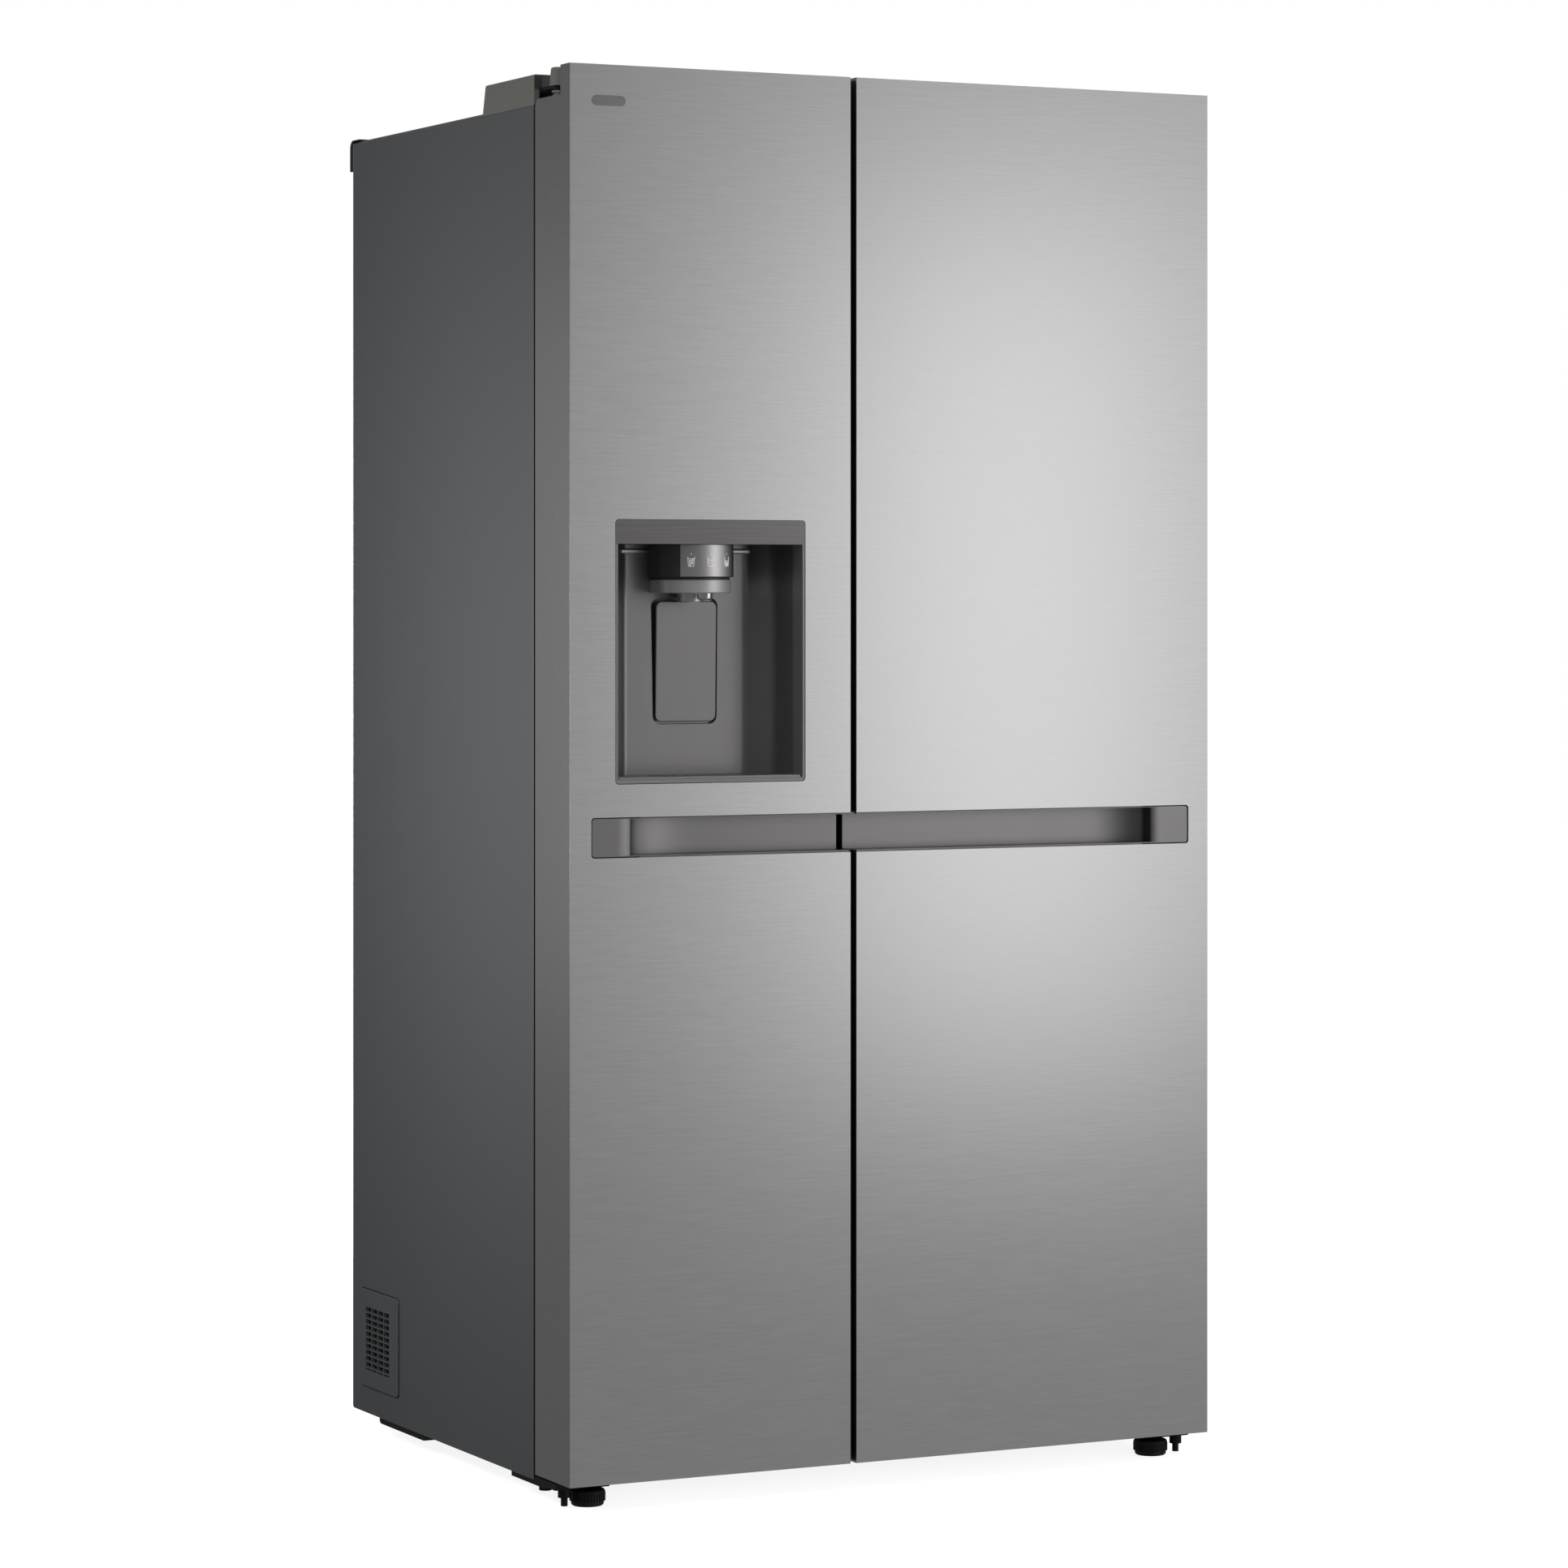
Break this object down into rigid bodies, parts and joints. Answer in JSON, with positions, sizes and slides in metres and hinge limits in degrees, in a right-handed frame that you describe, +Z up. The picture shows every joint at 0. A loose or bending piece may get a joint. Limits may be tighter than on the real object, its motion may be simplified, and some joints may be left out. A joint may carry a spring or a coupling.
{
  "type": "side by side refrigerator",
  "caption": "Free-standing side by side refrigerator with full-height hinged doors, recessed horizontal handles and an ice and water dispenser in the freezer door.",
  "frame": {"origin": "bottom centre of the bounding box, on the floor", "axes": "+Z up, +Y toward the rear, +X to the right as seen from the front"},
  "size_m": [0.913, 0.735, 1.784],
  "materials": {
    "stainless": "horizontally brushed stainless sheet, satin",
    "painted_grey": "dark grey painted steel, satin",
    "galvanised": "plain galvanised sheet, dull",
    "black_steel": "black powder coat",
    "chrome": "bright plated steel",
    "white_plastic": "smooth white thermoformed liner",
    "grey_plastic": "moulded grey, metallic satin",
    "warm_grey_plastic": "moulded warm grey, matt",
    "black_plastic": "moulded black, matt",
    "clear_plastic": "clear moulded plastic, gloss",
    "glass": "clear tempered glass",
    "rubber": "dark grey soft gasket",
    "foam": "rigid insulating foam",
    "copper": "copper coloured finned coil"
  },
  "bodies": {
    "cabinet": {"side_panel_left": "painted_grey", "side_panel_right": "painted_grey", "side_vent_grille": "painted_grey", "top_panel": "painted_grey", "rear_panel": "galvanised", "rear_top_trim": "black_plastic", "cabinet_foam": "foam", "freezer_liner": "white_plastic", "fridge_liner": "white_plastic", "base_frame": "black_steel", "machine_cover": "galvanised", "hinge_cover_left": "warm_grey_plastic", "hinge_cover_right": "warm_grey_plastic", "top_hinge_left": "chrome", "top_hinge_right": "chrome", "bottom_hinge_left": "black_steel", "bottom_hinge_right": "black_steel", "compressor": "black_steel", "condenser": "copper", "fan_shroud": "black_plastic", "water_valve": "white_plastic", "cord_gland": "black_plastic", "evaporator": "galvanised", "evaporator_cover": "white_plastic", "fridge_duct": "white_plastic", "ice_maker": "white_plastic", "freezer_shelf_1": "glass", "freezer_shelf_2": "glass", "fridge_shelf_1": "glass", "fridge_shelf_2": "glass", "fridge_shelf_3": "glass"},
    "freezer_door": {"freezer_door_skin": "stainless", "freezer_door_foam": "foam", "freezer_door_liner": "white_plastic", "freezer_door_gasket": "rubber", "freezer_handle": "grey_plastic", "dispenser_housing": "grey_plastic", "dispenser_head": "grey_plastic", "water_nozzle": "chrome", "drip_tray": "grey_plastic", "ice_bucket": "clear_plastic", "freezer_bin": "clear_plastic"},
    "fridge_door": {"fridge_door_skin": "stainless", "fridge_door_foam": "foam", "fridge_door_liner": "white_plastic", "fridge_door_gasket": "rubber", "fridge_handle": "grey_plastic", "fridge_bin_1": "clear_plastic", "fridge_bin_2": "clear_plastic", "fridge_bin_3": "clear_plastic"},
    "levelling_foot_left": {"levelling_foot_left": "black_plastic"},
    "levelling_foot_right": {"levelling_foot_right": "black_plastic"},
    "rear_roller_left": {"rear_roller_left": "black_plastic"},
    "rear_roller_right": {"rear_roller_right": "black_plastic"},
    "condenser_fan": {"condenser_fan": "black_plastic"},
    "freezer_drawer_1": {"freezer_drawer_1": "clear_plastic"},
    "freezer_drawer_2": {"freezer_drawer_2": "clear_plastic"},
    "fridge_drawer_1": {"fridge_drawer_1": "clear_plastic"},
    "fridge_drawer_2": {"fridge_drawer_2": "clear_plastic"},
    "dispenser_pad": {"dispenser_pad": "grey_plastic"}
  },
  "joints": [
    {"name": "freezer_door_hinge", "type": "hinge", "parent": "cabinet", "child": "freezer_door", "pos_m": [-0.4395, -0.2955, 0.9], "axis": [0, 0, -1], "range_deg": [0, 125]},
    {"name": "fridge_door_hinge", "type": "hinge", "parent": "cabinet", "child": "fridge_door", "pos_m": [0.4395, -0.2955, 0.9], "axis": [0, 0, 1], "range_deg": [0, 125]},
    {"name": "dispenser_pad_press", "type": "hinge", "parent": "freezer_door", "child": "dispenser_pad", "pos_m": [-0.2639, -0.29325, 1.121], "axis": [1, 0, 0], "range_deg": [0, 2.5], "stiffness_Nm_per_rad": 5},
    {"name": "levelling_foot_left_screw", "type": "slide", "parent": "cabinet", "child": "levelling_foot_left", "axis": [0, 0, -1], "range_m": [0, 0.01]},
    {"name": "levelling_foot_right_screw", "type": "slide", "parent": "cabinet", "child": "levelling_foot_right", "axis": [0, 0, -1], "range_m": [0, 0.01]},
    {"name": "rear_roller_left_spin", "type": "hinge", "parent": "cabinet", "child": "rear_roller_left", "pos_m": [-0.35, 0.2725, 0.012], "axis": [1, 0, 0], "continuous": true},
    {"name": "rear_roller_right_spin", "type": "hinge", "parent": "cabinet", "child": "rear_roller_right", "pos_m": [0.35, 0.2725, 0.012], "axis": [1, 0, 0], "continuous": true},
    {"name": "condenser_fan_spin", "type": "hinge", "parent": "cabinet", "child": "condenser_fan", "pos_m": [-0.114, 0.2645, 0.118], "axis": [1, 0, 0], "continuous": true},
    {"name": "freezer_drawer_1_slide", "type": "slide", "parent": "cabinet", "child": "freezer_drawer_1", "axis": [0, -1, 0], "range_m": [0, 0.1]},
    {"name": "freezer_drawer_2_slide", "type": "slide", "parent": "cabinet", "child": "freezer_drawer_2", "axis": [0, -1, 0], "range_m": [0, 0.1]},
    {"name": "fridge_drawer_1_slide", "type": "slide", "parent": "cabinet", "child": "fridge_drawer_1", "axis": [0, -1, 0], "range_m": [0, 0.1]},
    {"name": "fridge_drawer_2_slide", "type": "slide", "parent": "cabinet", "child": "fridge_drawer_2", "axis": [0, -1, 0], "range_m": [0, 0.1]}
  ]
}
